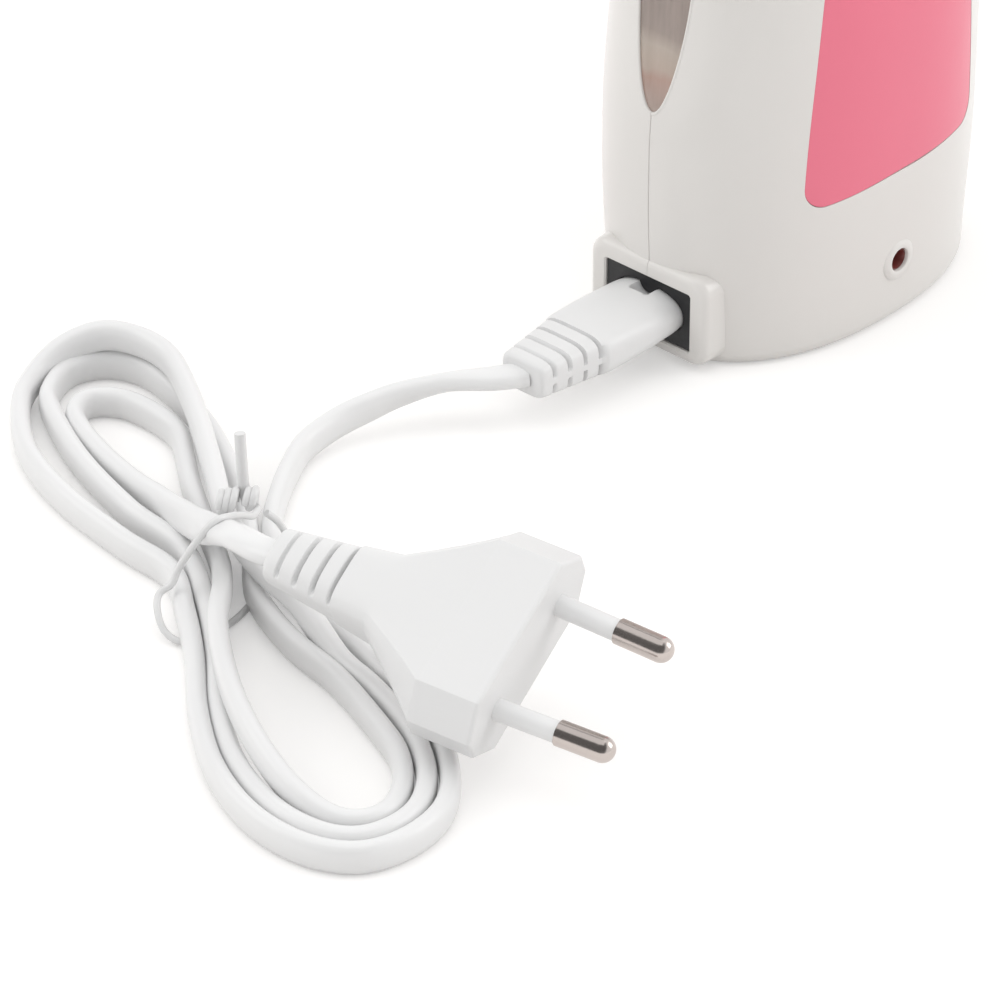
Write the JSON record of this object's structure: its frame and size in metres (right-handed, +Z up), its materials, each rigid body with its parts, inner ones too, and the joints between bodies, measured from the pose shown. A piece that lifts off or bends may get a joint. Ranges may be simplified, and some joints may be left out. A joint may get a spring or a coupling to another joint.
{
  "type": "roll-on wax warmer",
  "caption": "Handheld roll-on depilatory wax warmer standing on its base, with a wax cartridge, a side window and a detachable mains lead tied in a hank.",
  "frame": {"origin": "centre of the base, on the surface that the warmer stands on", "axes": "+Z up; -X towards the narrow side with the window and the mains inlet; -Y towards the wide face with the indicator lamp"},
  "size_m": [0.2071, 0.1476, 0.1719],
  "materials": {
    "shell_white": "glossy white moulded plastic",
    "panel_pink": "glossy pink plastic",
    "window_clear": "clear plastic window",
    "seat_cream": "cream heat-resistant plastic",
    "aluminium": "plain sheet",
    "ceramic": "ceramic heater, matt",
    "steel": "plated steel",
    "black_plastic": "black moulded plastic",
    "brass": "plated brass",
    "wire_brown": "wire insulation",
    "wire_blue": "wire insulation",
    "wire_red": "wire insulation",
    "lamp_red": "tinted indicator lamp",
    "board_green": "circuit board",
    "tank_white": "translucent white plastic",
    "head_white": "white plastic",
    "roller_pink": "pink plastic",
    "cord_white": "white soft PVC",
    "plug_white": "white moulded PVC",
    "tie_white": "plastic-coated wire tie"
  },
  "bodies": {
    "housing": {"shell_near": "shell_white", "shell_far": "shell_white", "side_panel_near": "panel_pink", "side_panel_far": "panel_pink", "window_lens": "window_clear", "top_rim": "shell_white", "well_seat": "seat_cream", "heating_well": "aluminium", "ceramic_heaters": "ceramic", "heater_band": "steel", "thermal_cutout": "black_plastic", "lead_inlet": "black_plastic", "inlet_pins": "brass", "live_wire": "wire_brown", "neutral_wire": "wire_blue", "lamp_wires": "wire_red", "indicator_lamp": "lamp_red", "lamp_board": "board_green", "housing_screws": "steel"},
    "cartridge": {"cartridge_tank": "tank_white", "cartridge_head": "head_white", "roller_axle": "steel"},
    "roller": {"roller": "roller_pink"},
    "lead": {"connector_body": "plug_white", "connector_contacts": "brass", "cord_run": "cord_white", "cord_neck": "cord_white", "cord_hank_upper": "cord_white", "cord_hank_lower": "cord_white", "cord_tail": "cord_white", "twist_tie": "tie_white", "plug_body": "plug_white", "pin_sleeves": "plug_white", "plug_pins": "steel"}
  },
  "joints": [
    {"name": "cartridge_slide", "type": "slide", "parent": "housing", "child": "cartridge", "axis": [0, 0, 1], "range_m": [0, 0.098]},
    {"name": "roller_spin", "type": "hinge", "parent": "cartridge", "child": "roller", "pos_m": [0, 0, 0.1649], "axis": [1, 0, 0], "continuous": true},
    {"name": "lead_slide", "type": "slide", "parent": "housing", "child": "lead", "axis": [-1, 0, 0], "range_m": [0, 0.012]}
  ]
}
